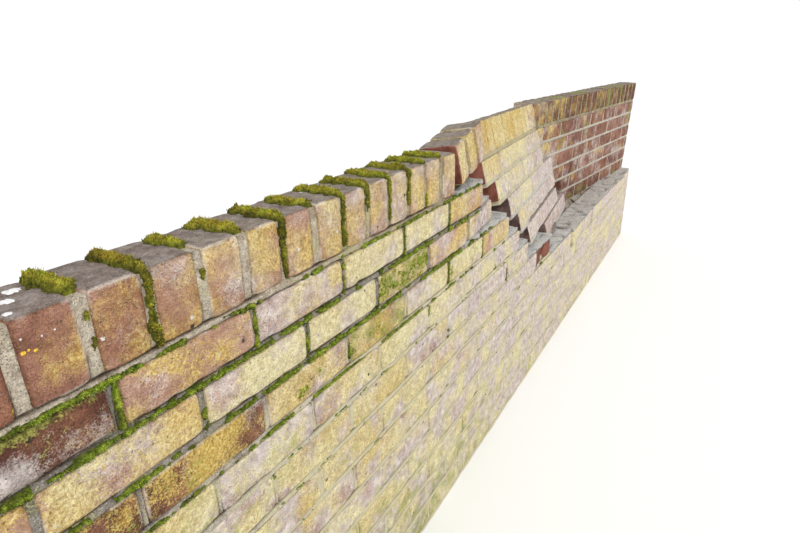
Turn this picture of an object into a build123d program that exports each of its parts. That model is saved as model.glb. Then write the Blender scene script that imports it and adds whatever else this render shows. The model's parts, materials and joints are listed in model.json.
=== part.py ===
# Garden wall of brick, half a brick thick, with a coping of half bricks on edge
# The upper part has cracked away in steps and been pushed back toward the garden
# X runs along the wall, the road face looks to -Y, the garden face to +Y, and Z=0 is the foot
import os
from math import ceil

from build123d import *

os.makedirs("parts", exist_ok=True)

# Brick and joints
brick_length = 215.0
brick_width = 102.5
brick_height = 65.0
bed_joint = 12.0
perpend_joint = 8.0
coping_joint = 13.0
joint_rake = 5.0
worn_arris = 6.0

# Wall, in courses and stretchers
stretchers_long = 19.5
courses_high = 12
ledge_course = 6
wall_thickness = brick_width
stretcher_pitch = brick_length + perpend_joint
half_pitch = stretcher_pitch / 2
course_pitch = brick_height + bed_joint
coping_pitch = brick_height + coping_joint
wall_length = stretchers_long * stretcher_pitch - perpend_joint
near_end = -wall_length / 2
far_end = wall_length / 2
road_face = -wall_thickness / 2
garden_face = wall_thickness / 2

# The crack steps down half a brick a course from the coping, counted in half bricks from the near end
crack_halves = {12: 15, 11: 16, 10: 17, 9: 18, 8: 19, 7: 22}
# The fold between the two parts of the pushed panel, where each course of its near part ends
fold_halves = {12: 24, 11: 24, 10: 26, 9: 26, 8: 26, 7: 28}
# Where each course of its far part begins, with half a brick missing in course 8
far_halves = {12: 24, 11: 24, 10: 26, 9: 26, 8: 28, 7: 28}
# Where the coping breaks off at the crack, in half bricks, and how many of its bricks came loose there
coping_break_halves = 13.4
loose_coping_bricks = 3

# Near part of the panel, slid, turned and tipped about its garden foot
tip_slide = 68.0
tip_back = 43.8
tip_rise = -2.8
tip_turn = 8.2
tip_lean = 13.8
tip_dip = 2.0

# Far part of the panel, slid off the wall below, turned the other way and leaning out
far_slide = 76.6
far_back = 221.8
far_rise = -5.0
far_turn = -6.05
far_lean = -2.5
far_trim = 64.0

# First coping bricks of the panel, dropped back on the crack
loose_slide = 11.0
loose_back = -7.6
loose_rise = 0.5
loose_turn = 5.5
loose_lean = 8.0
loose_dip = -9.0

# Brick at the crack that has turned with the push
turned_brick_angle = 6.4

# Loosened runs of the ledge: first and last half brick, turn, and shove toward the road
ledge_runs = [(25, 29, 1.6, 3.0), (29, 33, -0.7, 0.0), (33, 37, -1.3, 5.0), (37, 39, 0.0, 0.0)]

# Brick split and spalled at the foot of the crack
split_gap = 8.0
spall_depth = 14.0

# Stub left in the panel where half a brick is missing
stub_depth = 42.0

# Crushed bed that carries the foot of the tipped part
crushed_setback = 62.0

# How far the edges of the bared mortar wander
ragged_edge = 10.0

# Rubble caught behind the ledge: length of each lump, how far it reaches in, and its depth
rubble_lumps = [(70, 62, 84), (95, 74, 118), (60, 56, 92), (110, 70, 126),
                (80, 60, 88), (65, 72, 110), (105, 58, 96)]
rubble_clearance = 4.0


def halves(count):
    """Distance from the near end to the far side of a number of half bricks."""
    return near_end + count * half_pitch - perpend_joint


def course_foot(number):
    """Underside of the bed joint of a course, counted from the foot."""
    return (number - 1) * course_pitch


def pushed(pivot, shift, turn, lean, dip):
    """The wall's own axes after a part of it has been shifted, turned, leant back and dipped."""
    moved = Location(Vector(*pivot) + Vector(*shift))
    moved *= Location((0, 0, 0), (0, 0, turn))
    moved *= Location((0, 0, 0), (-lean, 0, 0))
    moved *= Location((0, 0, 0), (0, dip, 0))
    moved *= Location(-Vector(*pivot))
    return Plane(moved)


def perpends(start, end, number):
    """Places of the upright joints of a course between two points, in stretcher bond."""
    first = near_end + (half_pitch if number % 2 == 0 else 0) - perpend_joint / 2
    steps = ceil((start + joint_rake - first) / stretcher_pitch)
    places = []
    while first + steps * stretcher_pitch < end - joint_rake:
        places.append(first + steps * stretcher_pitch)
        steps += 1
    return places


def lay_course(place, start, end, number, bedded=True):
    """One course of stretchers between two points, with raked joints on both faces."""
    middle = (start + end) / 2
    joints = [(x, face) for x in perpends(start, end, number) for face in (road_face, garden_face)]
    bed_rake = 0.0 if number == 1 else joint_rake
    with BuildPart() as run:
        with BuildSketch(place.offset(course_foot(number) + bed_joint)):
            with Locations((middle, 0)):
                Rectangle(end - start, wall_thickness)
            if joints:
                with Locations(joints):
                    Rectangle(perpend_joint, 2 * joint_rake, mode=Mode.SUBTRACT)
        extrude(amount=brick_height)
        if bedded:
            with BuildSketch(place.offset(course_foot(number))):
                with Locations((middle, 0)):
                    Rectangle(end - start, wall_thickness - 2 * bed_rake)
            extrude(amount=bed_joint)
    return run


def lay_coping(place, start, count, bed_start=None):
    """A run of half bricks on edge, with raked joints and worn top arrises, and its bed if it has one."""
    foot = course_foot(courses_high + 1) + bed_joint
    length = count * coping_pitch - coping_joint
    middle = start + length / 2
    joints = [start + k * coping_pitch - coping_joint / 2 for k in range(1, count)]
    along = Axis(place.origin, place.x_dir)
    upward = Axis(place.origin, place.z_dir)
    elevation = Plane(place.from_local_coords((0, garden_face, foot)), place.x_dir, -place.y_dir)
    with BuildPart() as run:
        with BuildSketch(elevation):
            with Locations((middle, brick_width / 2)):
                Rectangle(length, brick_width)
            with Locations([(x, brick_width) for x in joints]):
                Rectangle(coping_joint, 2 * joint_rake, mode=Mode.SUBTRACT)
        extrude(amount=wall_thickness)
        with BuildSketch(place.offset(foot)):
            with Locations([(x, face) for x in joints for face in (road_face, garden_face)]):
                Rectangle(coping_joint, 2 * joint_rake)
        extrude(amount=brick_width, mode=Mode.SUBTRACT)
        top_edges = run.faces().sort_by(upward)[-count:].edges().filter_by(along)
        fillet(top_edges, radius=worn_arris)
        if bed_start is not None:
            with BuildSketch(place.offset(foot - bed_joint)):
                with Locations(((bed_start + start + length) / 2, 0)):
                    Rectangle(start + length - bed_start, wall_thickness - 2 * joint_rake)
            extrude(amount=bed_joint)
    return run


def bare_bed(place, start, end, number):
    """The ragged sheet of mortar under a course that has gone, on the bricks it lay on."""
    length = end - start
    outline = [(start, road_face + 0.6 * ragged_edge),
               (start + 0.2 * length, road_face + 0.3 * ragged_edge),
               (start + 0.35 * length, road_face + 0.9 * ragged_edge),
               (start + 0.6 * length, road_face + 0.4 * ragged_edge),
               (start + 0.85 * length, road_face + ragged_edge),
               (end - 0.4 * ragged_edge, road_face + 0.8 * ragged_edge),
               (end - 0.7 * ragged_edge, 0),
               (end - 0.3 * ragged_edge, garden_face - 0.8 * ragged_edge),
               (start, garden_face - joint_rake)]
    with BuildPart() as sheet:
        with BuildSketch(place.offset(course_foot(number))):
            with BuildLine():
                Polyline(*outline, close=True)
            make_face()
        extrude(amount=bed_joint)
    return sheet


def keep(run, name):
    run.part.label = name
    export_step(run.part, f"parts/{name}.step")


upright = Plane.XY
ledge = course_foot(ledge_course + 1)
coping_foot = course_foot(courses_high + 1)
joint = perpend_joint

# Standing wall below the crack, the whole length up to the loosened course
for number in range(1, ledge_course):
    keep(lay_course(upright, near_end, far_end, number), f"course_{number:02d}")
ledge_start = halves(ledge_runs[0][0])
keep(lay_course(upright, near_end, ledge_start, ledge_course), f"course_{ledge_course:02d}")

# Loosened runs of the course that the panel has left bare
ledge_places = []
with BuildPart() as ledge_bricks:
    for first, last, turn, shove in ledge_runs:
        start = halves(first) + joint
        place = pushed(((start + halves(last)) / 2, 0, 0), (0, -shove, 0), turn, 0, 0)
        ledge_places.append((place, start, halves(last)))
        add(lay_course(place, start, halves(last), ledge_course).part)
keep(ledge_bricks, "ledge_bricks")

# Standing courses beside the crack, and their coping
turned_start = halves(crack_halves[11] - 2) + joint
split_start = halves(crack_halves[7] - 2) + joint
near_runs = {number: halves(crack_halves[number]) for number in crack_halves}
near_runs[11] = turned_start - joint
near_runs[7] = split_start - joint
for number in range(ledge_course + 1, courses_high + 1):
    keep(lay_course(upright, near_end, near_runs[number], number), f"near_course_{number:02d}")
near_coping_bricks = round(coping_break_halves * half_pitch / coping_pitch)
loose_start = near_end + near_coping_bricks * coping_pitch
keep(lay_coping(upright, near_end, near_coping_bricks, near_end), "near_coping")

# Brick at the foot of the crack, split through and with its face blown off
split_end = halves(crack_halves[7])
split_middle = (split_start + split_end) / 2
half_length = split_middle - split_start
spalled_face = road_face + spall_depth
near_half = [(split_start, road_face + 0.15 * spall_depth),
             (split_start + 0.48 * half_length, road_face + 0.3 * spall_depth),
             (split_start + 0.73 * half_length, road_face + 0.8 * spall_depth),
             (split_middle - split_gap, spalled_face),
             (split_middle - 0.25 * split_gap, spalled_face + 0.3 * wall_thickness),
             (split_middle - 1.1 * split_gap, garden_face - 0.2 * wall_thickness),
             (split_middle - 0.4 * split_gap, garden_face),
             (split_start, garden_face)]
far_half = [(split_middle + split_gap, spalled_face - 0.2 * spall_depth),
            (split_middle + 0.32 * half_length, road_face + 0.6 * spall_depth),
            (split_middle + 0.65 * half_length, road_face + 0.4 * spall_depth),
            (split_end, road_face + 0.8 * spall_depth),
            (split_end, garden_face),
            (split_middle + 0.4 * split_gap, garden_face),
            (split_middle - 0.4 * split_gap, garden_face - 0.22 * wall_thickness),
            (split_middle + 0.6 * split_gap, road_face + 0.4 * wall_thickness)]
with BuildPart() as split_brick:
    with BuildSketch(upright.offset(ledge + bed_joint)):
        for outline in (near_half, far_half):
            with BuildLine():
                Polyline(*outline, close=True)
            make_face()
    extrude(amount=brick_height)
    with BuildSketch(upright.offset(ledge)):
        with Locations((split_middle, 0)):
            Rectangle(split_end - split_start, wall_thickness - 2 * joint_rake - spall_depth)
    extrude(amount=bed_joint)
keep(split_brick, "split_brick")

# Brick of course 11 at the crack, turned about its near garden corner
turn_about = (turned_start, garden_face, 0)
turned_place = pushed(turn_about, (0, 0, 0), turned_brick_angle, 0, 0)
keep(lay_course(turned_place, turned_start, halves(crack_halves[11]), 11, False), "turned_brick")

# Near part of the panel
tip_pivot = (halves(crack_halves[7]) + joint, garden_face, ledge + bed_joint)
tipped = pushed(tip_pivot, (tip_slide, tip_back, tip_rise), tip_turn, tip_lean, tip_dip)
tipped_runs = {}
for number in range(ledge_course + 1, courses_high + 1):
    start = halves(crack_halves[number]) + joint
    bedded = number > ledge_course + 1
    tipped_runs[number] = lay_course(tipped, start, halves(fold_halves[number]), number, bedded)
    keep(tipped_runs[number], f"tipped_course_{number:02d}")
tipped_coping_start = loose_start + loose_coping_bricks * coping_pitch
tipped_coping_bricks = round((halves(fold_halves[12]) - tipped_coping_start) / coping_pitch)
keep(lay_coping(tipped, tipped_coping_start, tipped_coping_bricks, tipped_coping_start), "tipped_coping")

# Coping bricks that have dropped back on the crack
loose_pivot = (loose_start, garden_face, coping_foot + bed_joint)
loose_place = pushed(loose_pivot, (loose_slide, loose_back, loose_rise), loose_turn, loose_lean, loose_dip)
keep(lay_coping(loose_place, loose_start, loose_coping_bricks), "loose_coping")

# Far part of the panel
far_pivot = (halves(fold_halves[12]) + joint, road_face, ledge + bed_joint)
far_place = pushed(far_pivot, (far_slide, far_back, far_rise), far_turn, far_lean, 0)
far_runs = {}
for number in range(ledge_course + 1, courses_high + 1):
    start = halves(far_halves[number]) + joint
    bedded = number > ledge_course + 1
    far_runs[number] = lay_course(far_place, start, far_end - far_trim, number, bedded)
stub_start = halves(far_halves[8] - 1) + joint
stub_end = halves(far_halves[8]) + joint
stub_length = stub_end - stub_start
stub_face = garden_face - stub_depth
stub_outline = [(stub_start, stub_face + 0.2 * stub_depth),
                (stub_start + 0.22 * stub_length, stub_face),
                (stub_start + 0.55 * stub_length, stub_face + 0.3 * stub_depth),
                (stub_start + 0.8 * stub_length, stub_face - 0.1 * stub_depth),
                (stub_end, stub_face + 0.15 * stub_depth),
                (stub_end, garden_face),
                (stub_start, garden_face)]
with BuildPart() as course_with_stub:
    add(far_runs[8].part)
    with BuildSketch(far_place.offset(course_foot(8) + bed_joint)):
        with BuildLine():
            Polyline(*stub_outline, close=True)
        make_face()
    extrude(amount=brick_height)
far_runs[8] = course_with_stub
for number in far_runs:
    keep(far_runs[number], f"far_course_{number:02d}")
far_coping_start = tipped_coping_start + tipped_coping_bricks * coping_pitch
far_coping_bricks = round((far_end - far_trim - far_coping_start) / coping_pitch)
far_bed_start = halves(far_halves[12]) + joint
keep(lay_coping(far_place, far_coping_start, far_coping_bricks, far_bed_start), "far_coping")

# Mortar left bare on the steps of the crack and on the ledge
bed_sheets = [bare_bed(upright, loose_start, halves(crack_halves[12]), 13),
              bare_bed(turned_place, halves(crack_halves[12]), halves(crack_halves[11]), 12),
              bare_bed(upright, near_runs[11], halves(crack_halves[10]), 11)]
for number in (10, 9, 8):
    step_end = halves(crack_halves[number - 1])
    bed_sheets.append(bare_bed(upright, halves(crack_halves[number]), step_end, number))
for place, start, end in ledge_places:
    bed_sheets.append(bare_bed(place, start, end, ledge_course + 1))

# Crushed bed under the tipped foot, cut to the underside that it carries
crushed_start = halves(crack_halves[7]) + joint
crushed_end = ledge_start - joint
crushed_length = crushed_end - crushed_start
crushed_front = road_face + crushed_setback
crushed_outline = [(crushed_start, crushed_front),
                   (crushed_start + 0.22 * crushed_length, crushed_front - 0.15 * crushed_setback),
                   (crushed_start + 0.44 * crushed_length, crushed_front + 0.08 * crushed_setback),
                   (crushed_start + 0.73 * crushed_length, crushed_front - 0.06 * crushed_setback),
                   (crushed_end, crushed_front + 0.13 * crushed_setback),
                   (crushed_end, garden_face - joint_rake),
                   (crushed_start, garden_face - joint_rake)]
with BuildPart() as crushed_bed:
    add(bare_bed(upright, halves(crack_halves[7]), ledge_start, ledge_course + 1).part)
    with BuildSketch(upright.offset(ledge + bed_joint)):
        with BuildLine():
            Polyline(*crushed_outline, close=True)
        make_face()
    extrude(amount=course_pitch / 2)
    with BuildSketch(tipped.offset(ledge + bed_joint)):
        with Locations(((crushed_start + crushed_end) / 2, 0)):
            Rectangle(2 * wall_length, 4 * wall_thickness)
    extrude(amount=course_pitch, mode=Mode.SUBTRACT)

with BuildPart() as broken_bed:
    for sheet in bed_sheets:
        add(sheet.part)
    add(crushed_bed.part)
    for bearing in (tipped_runs[8], far_runs[7]):
        add(bearing.part, mode=Mode.SUBTRACT)
keep(broken_bed, "broken_bed")

# Rubble caught between the back of the ledge and the foot of the panel, beyond the tipped part
with BuildPart() as rubble:
    lump_start = halves(fold_halves[7]) + tip_slide + rubble_clearance
    for length, reach, depth in rubble_lumps:
        section = Plane((lump_start, garden_face, ledge + bed_joint), (0, 1, 0), (1, 0, 0))
        lump_outline = [(0, -depth),
                        (0, -bed_joint - 0.2 * reach),
                        (0.35 * reach, -0.35 * reach),
                        (0.7 * reach, 0),
                        (2 * reach, 0),
                        (1.9 * reach, -0.45 * depth),
                        (0.6 * reach, -0.9 * depth)]
        with BuildSketch(section):
            with BuildLine():
                Polyline(*lump_outline, close=True)
            make_face()
        extrude(amount=length)
        lump_start += length
    for bearing in (ledge_bricks, tipped_runs[7], far_runs[7]):
        add(bearing.part, mode=Mode.SUBTRACT)
keep(rubble, "rubble")
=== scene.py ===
import json
import math

import bpy
import numpy as np
from mathutils import Matrix, Vector


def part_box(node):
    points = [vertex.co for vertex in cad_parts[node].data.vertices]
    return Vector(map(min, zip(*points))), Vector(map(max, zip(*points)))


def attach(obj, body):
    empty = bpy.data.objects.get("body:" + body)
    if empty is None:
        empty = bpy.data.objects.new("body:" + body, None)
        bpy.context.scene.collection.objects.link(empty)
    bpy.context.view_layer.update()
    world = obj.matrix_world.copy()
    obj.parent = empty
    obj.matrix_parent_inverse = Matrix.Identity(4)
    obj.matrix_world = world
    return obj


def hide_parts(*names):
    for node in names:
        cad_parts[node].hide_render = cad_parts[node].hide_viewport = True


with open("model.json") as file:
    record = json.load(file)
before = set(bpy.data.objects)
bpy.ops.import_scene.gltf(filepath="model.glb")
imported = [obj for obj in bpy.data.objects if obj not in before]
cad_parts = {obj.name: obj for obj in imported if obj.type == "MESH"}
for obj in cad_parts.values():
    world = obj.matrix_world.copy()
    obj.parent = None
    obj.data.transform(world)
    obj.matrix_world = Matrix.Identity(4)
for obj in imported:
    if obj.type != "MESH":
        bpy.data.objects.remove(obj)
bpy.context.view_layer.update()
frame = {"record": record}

# Brick and joints, as in the part
BRICK_LENGTH = 0.215
BRICK_WIDTH = 0.1025
BRICK_HEIGHT = 0.065
BED_JOINT = 0.012
PERPEND_JOINT = 0.008
COPING_JOINT = 0.013
HALF_PITCH = (BRICK_LENGTH + PERPEND_JOINT) / 2
COURSE_PITCH = BRICK_HEIGHT + BED_JOINT
COPING_PITCH = BRICK_HEIGHT + COPING_JOINT
NEAR_END, FAR_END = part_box("course_01")[0].x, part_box("course_01")[1].x
ROAD_FACE = -BRICK_WIDTH / 2
GARDEN_FACE = BRICK_WIDTH / 2
COURSES = 12
LEDGE_COURSE = 6
LEDGE = LEDGE_COURSE * COURSE_PITCH
COPING_FOOT = COURSES * COURSE_PITCH + BED_JOINT
WALL_TOP = COPING_FOOT + BRICK_WIDTH

# Where each course breaks off at the crack and at the fold, in half bricks from the near end
CRACK = {12: 15, 11: 16, 10: 17, 9: 18, 8: 19, 7: 22}
FOLD = {12: 24, 11: 24, 10: 26, 9: 26, 8: 26, 7: 28}
FAR = {**FOLD, 8: 28}
NEAR_COPING, LOOSE_COPING, TIPPED_COPING, FAR_COPING = 19, 3, 12, 21
FAR_TRIM = 0.064
# Runs of bricks on the ledge: first and last half brick, turn in degrees and shove toward the road
LEDGE_RUNS = [(25, 29, 1.6, 0.003), (29, 33, -0.7, 0.0), (33, 37, -1.3, 0.005), (37, 39, 0.0, 0.0)]
LEDGE_START = LEDGE_RUNS[0][0]

# Split brick, stub, crushed bed and rubble, as in the part; each lump has a length, a reach and a depth
SPLIT_GAP, SPALL_DEPTH, STUB_DEPTH = 0.008, 0.014, 0.042
CRUSHED_SETBACK, RUBBLE_START = 0.062, 0.072
RUBBLE_LUMPS = [(0.070, 0.062, 0.084), (0.095, 0.074, 0.118), (0.060, 0.056, 0.092), (0.110, 0.070, 0.126),
                (0.080, 0.060, 0.088), (0.065, 0.072, 0.110), (0.105, 0.058, 0.096)]


def halves(count):
    """Distance along the wall of the far side of a number of half bricks."""
    return NEAR_END + count * HALF_PITCH - PERPEND_JOINT


def next_brick(count):
    """Where the brick after a number of half bricks begins."""
    return halves(count) + PERPEND_JOINT


def course_foot(number):
    return (number - 1) * COURSE_PITCH


def rotation(degrees, axis):
    return Matrix.Rotation(math.radians(degrees), 4, axis)


def pushed(pivot, shift, turn, lean, dip):
    """Matrix from wall coordinates to the place of a part that was shifted, turned, leant back and dipped."""
    move = Matrix.Translation(Vector(pivot) + Vector(shift))
    turns = rotation(turn, "Z") @ rotation(-lean, "X") @ rotation(dip, "Y")
    return move @ turns @ Matrix.Translation(-Vector(pivot))


UPRIGHT = Matrix.Identity(4)
TIP_PIVOT = (next_brick(CRACK[7]), GARDEN_FACE, LEDGE + BED_JOINT)
TIPPED = pushed(TIP_PIVOT, (0.068, 0.0438, -0.0028), 8.2, 13.8, 2.0)
FAR_PIVOT = (next_brick(FOLD[12]), ROAD_FACE, LEDGE + BED_JOINT)
FAR_PLACE = pushed(FAR_PIVOT, (0.0766, 0.2218, -0.005), -6.05, -2.5, 0)
LOOSE_START = NEAR_END + NEAR_COPING * COPING_PITCH
LOOSE_PLACE = pushed((LOOSE_START, GARDEN_FACE, COPING_FOOT), (0.011, -0.0076, 0.0005), 5.5, 8.0, -9.0)
TURNED_START = next_brick(CRACK[11] - 2)
TURNED_PLACE = pushed((TURNED_START, GARDEN_FACE, 0), (0, 0, 0), 6.4, 0, 0)
SPLIT_START, SPLIT_END = next_brick(CRACK[7] - 2), halves(CRACK[7])

# Noise and chance: odd numbers that mix the bits of a cell
MIXERS = [np.uint32(mixer) for mixer in (374761393, 668265263, 2246822519, 1274126177)]


def scrambled(cells, seed):
    """A steady value from 0 to 1 for each whole-number cell."""
    x, y, z = (cells[:, k].astype(np.int64).astype(np.uint32) for k in range(3))
    h = x * MIXERS[0] + y * MIXERS[1] + z * MIXERS[2]
    h = h + np.uint32(seed * 40503 % 65521 * 2654435 % 2**32)
    h = (h ^ (h >> np.uint32(13))) * MIXERS[3]
    h = (h ^ (h >> np.uint32(15))) * MIXERS[2]
    return (h ^ (h >> np.uint32(16))).astype(float) / 2**32


def noise(points, size, seed=0):
    """Smooth noise from -1 to 1 with bumps about size across."""
    scaled = np.asarray(points, float) / size
    base = np.floor(scaled)
    t = scaled - base
    t = t * t * (3 - 2 * t)
    total = np.zeros(len(scaled))
    for corner in np.ndindex(2, 2, 2):
        share = np.prod(np.where(corner, t, 1 - t), axis=1)
        total += share * scrambled(base + corner, seed)
    return 2 * total - 1


def bumps(points, large, small, share, seed):
    """Noise with large bumps and a share of small ones."""
    return noise(points, large, seed) + share * noise(points, small, seed + 1)


def ramp(x, low, high):
    """0 below low, 1 above high and smooth between."""
    t = np.clip((np.asarray(x, float) - low) / (high - low), 0, 1)
    return t * t * (3 - 2 * t)


def columns(*values):
    """The values side by side, one row for each point."""
    return np.stack(np.broadcast_arrays(*values), axis=1)


# Shapes
class Heap:
    """Shapes gathered into one piece, with the values that its material reads at each point."""

    def __init__(self):
        self.points, self.faces, self.first, self.second, self.count = [], [], [], [], 0

    def add(self, points, faces, first, second=(0, 0, 0, 0)):
        self.points.append(points)
        self.faces.append(faces + self.count)
        self.first.append(np.broadcast_to(first, (len(points), 4)))
        self.second.append(np.broadcast_to(second, (len(points), 4)))
        self.count += len(points)

    def piece(self, name, material, nodes=(), slot=None, smooth=True):
        points, faces = np.concatenate(self.points), np.concatenate(self.faces)
        sides = faces.shape[1]
        mesh = bpy.data.meshes.new(name)
        mesh.vertices.add(len(points))
        mesh.vertices.foreach_set("co", points.astype(np.float32).ravel())
        mesh.loops.add(faces.size)
        mesh.loops.foreach_set("vertex_index", faces.astype(np.int32).ravel())
        mesh.polygons.add(len(faces))
        mesh.polygons.foreach_set("loop_start", np.arange(0, faces.size, sides, dtype=np.int32))
        for label, values in (("look", self.first), ("growth", self.second)):
            layer = mesh.attributes.new(label, "FLOAT_COLOR", "POINT")
            layer.data.foreach_set("color", np.concatenate(values).astype(np.float32).ravel())
        mesh.update(calc_edges=True)
        mesh.polygons.foreach_set("use_smooth", np.full(len(faces), smooth))
        mesh.materials.append(material)
        made = bpy.data.objects.new(name, mesh)
        bpy.context.scene.collection.objects.link(made)
        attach(made, "root")
        if nodes:
            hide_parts(*nodes)


def shell(lines):
    """Points and outward quads of the surface of a box that is cut at the given lines along each axis."""
    counts = [len(line) for line in lines]
    on_skin = np.zeros(counts, bool)
    for axis in range(3):
        side = [slice(None)] * 3
        for end in (0, -1):
            side[axis] = end
            on_skin[tuple(side)] = True
    index = np.full(counts, -1)
    index[on_skin] = np.arange(on_skin.sum())
    mesh = np.stack(np.meshgrid(*lines, indexing="ij"), axis=-1)[on_skin]
    quads = []
    for axis in range(3):
        for end, outward in ((0, False), (-1, True)):
            side = np.take(index, end, axis=axis)
            a, b, c, d = side[:-1, :-1], side[1:, :-1], side[1:, 1:], side[:-1, 1:]
            flip = outward == (axis == 1)
            loop = (d, c, b, a) if flip else (a, b, c, d)
            quads.append(np.stack([part.ravel() for part in loop], axis=1))
    return mesh, np.concatenate(quads)


def edge_lines(half, step, arris):
    """Cutting lines across one side of a box, close together at its arrises."""
    inner = max(1, round(2 * (half - arris) / step))
    middle = np.linspace(-(half - arris), half - arris, inner + 1)
    return np.concatenate([[-half, -half + 0.35 * arris], middle, [half - 0.35 * arris, half]])


def worn_box(size, step, arris, wear, rough, seed):
    """Points, quads and nearness to an arris of a box with rounded, chipped arrises and uneven faces."""
    half = np.array(size) / 2
    grid, quads = shell([edge_lines(h, s, arris) for h, s in zip(half, step)])
    core = np.clip(grid, arris - half, half - arris)
    out = grid - core
    out /= np.linalg.norm(out, axis=1, keepdims=True)
    reach = np.sort(np.clip((np.abs(grid) - half + 3 * arris) / (3 * arris), 0, 1), axis=1)
    near, corner = reach[:, 1], reach[:, 0]
    own = grid + seed * 0.731
    chips = wear * near**2 * np.clip(bumps(own, 0.019, 0.008, 0.5, 3) - 0.45, 0, 1)
    chips += 0.5 * wear * corner**2 * (1 + 0.6 * noise(own, 0.05, 8))
    dents = rough * bumps(own, 0.034, 0.012, 0.5, 5)
    return core + out * (arris + dents - chips)[:, None], quads, near


def ragged_prism(outline, low, high, step, rough, seed):
    """Triangles of a prism over an outline, broken up to an uneven surface; the third axis runs along it."""
    outline = np.array(outline, float)
    rim = []
    for a, b in zip(outline, np.roll(outline, -1, axis=0)):
        parts = max(1, round(np.linalg.norm(b - a) / step))
        rim += [a + (b - a) * k / parts for k in range(parts)]
    rim = np.array(rim)
    turning = np.sum(rim[:, 0] * np.roll(rim[:, 1], -1) - np.roll(rim[:, 0], -1) * rim[:, 1])
    if turning < 0:
        rim = rim[::-1]
    middle, around = rim.mean(axis=0), len(rim)
    levels = np.linspace(low, high, max(2, round((high - low) / step) + 1))
    # each end is closed by two smaller rings and a middle point
    rings = [(0.4, low), (0.75, low)] + [(1.0, z) for z in levels] + [(0.75, high), (0.4, high)]
    points = [np.column_stack([middle + (rim - middle) * share, np.full(around, z)]) for share, z in rings]
    points = np.concatenate([*points, [[*middle, low], [*middle, high]]])
    here = np.arange(around)
    after = np.roll(here, -1)
    triangles = []
    for ring in range(len(rings) - 1):
        a, b = here + ring * around, after + ring * around
        triangles += [columns(a, b, b + around), columns(a, b + around, a + around)]
    last = (len(rings) - 1) * around
    triangles.append(columns(after, here, len(points) - 2))
    triangles.append(columns(here + last, after + last, len(points) - 1))
    triangles = np.concatenate(triangles)
    corners = points[triangles]
    flat = np.cross(corners[:, 1] - corners[:, 0], corners[:, 2] - corners[:, 0])
    normals = np.zeros_like(points)
    for k in range(3):
        np.add.at(normals, triangles[:, k], flat)
    normals /= np.linalg.norm(normals, axis=1, keepdims=True)
    lumps = rough * (bumps(points + seed * 0.37, 0.022, 0.009, 0.6, 7) - 0.5)
    return points + normals * lumps[:, None], triangles


def placed(points, matrix):
    m = np.array(matrix)
    return points @ m[:3, :3].T + m[:3, 3]


def bond_offset(number):
    """How far the bond of a course is shifted: even courses begin with half a brick."""
    return HALF_PITCH if number % 2 == 0 else 0


def perpends(start, end, number):
    """Middles of the upright joints of a course between two points, in stretcher bond."""
    margin = 0.005
    first = NEAR_END + bond_offset(number) - PERPEND_JOINT / 2
    steps = math.ceil((start + margin - first) / (2 * HALF_PITCH))
    places = []
    while first + steps * 2 * HALF_PITCH < end - margin:
        places.append(first + steps * 2 * HALF_PITCH)
        steps += 1
    return places


# What grows where
# Each kind of brick: clay from dark to light, hue from tan to pink, yellow lichen, pale bloom, algae
KINDS = {"spalled": (0.10, 0.25, 0.26, 0.12, 0.22),
         "tan": (0.72, 0.55, 0.46, 0.28, 0.04),
         "pink": (0.70, 0.95, 0.38, 0.60, 0.03),
         "golden": (0.72, 0.95, 0.58, 0.44, 0.03),
         "cream": (0.84, 0.95, 0.60, 0.80, 0.03),
         "gritty": (0.12, 0.35, 0.46, 0.18, 0.26),
         "sandy": (0.46, 0.55, 0.60, 0.50, 0.18),
         "mossy": (0.50, 0.60, 0.64, 0.44, 0.50)}
# The bricks of those kinds, by course and place from the near end
KIND_OF = {(12, 1): "spalled", (12, 2): "spalled", (12, 3): "tan", (12, 4): "pink", (12, 5): "cream",
           (12, 6): "cream", (12, 7): "golden", (11, 1): "tan", (11, 2): "golden", (11, 3): "cream",
           (11, 4): "cream", (11, 5): "mossy", (11, 6): "golden", (10, 2): "gritty", (10, 3): "gritty",
           (10, 4): "sandy", (10, 5): "mossy", (10, 7): "cream", (10, 8): "golden"}
# White salts on a spalled brick: distance from the near end and height
SALT_PATCH = (0.430, 0.874)
# Stretches along the wall from the near end, and a range of heights, over which the growth changes
COPING_STRETCH, ROAD_STRETCH = (0.54, 0.66), (0.9, 2.2)
TIPPED_STRETCH, FOLD_STRETCH, TIPPED_LOW = (2.20, 2.72), (2.72, 3.10), (0.80, 1.0)
# The mortar of the pushed panel: tone from dark to light, coolness, bloom, algae and yellow lichen
PANEL_MORTAR = {("far", "courses"): (0.92, 0.35, 0.30, 0.06, 0.06),
                ("far", "coping"): (0.36, 0.1, 0.1, 0.35, 0.4),
                ("tipped", "courses"): (0.98, 0.7, 0.4, 0.04, 0.1),
                ("tipped", "upper courses"): (0.86, 0.2, 0.4, 0.04, 0.5),
                ("tipped", "coping"): (0.76, 0.0, 0.5, 0.06, 0.85)}


def brick_index(middle, number):
    """Place of a brick in its course, counted from the near end."""
    return int((middle - NEAR_END + bond_offset(number)) / (2 * HALF_PITCH))


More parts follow.
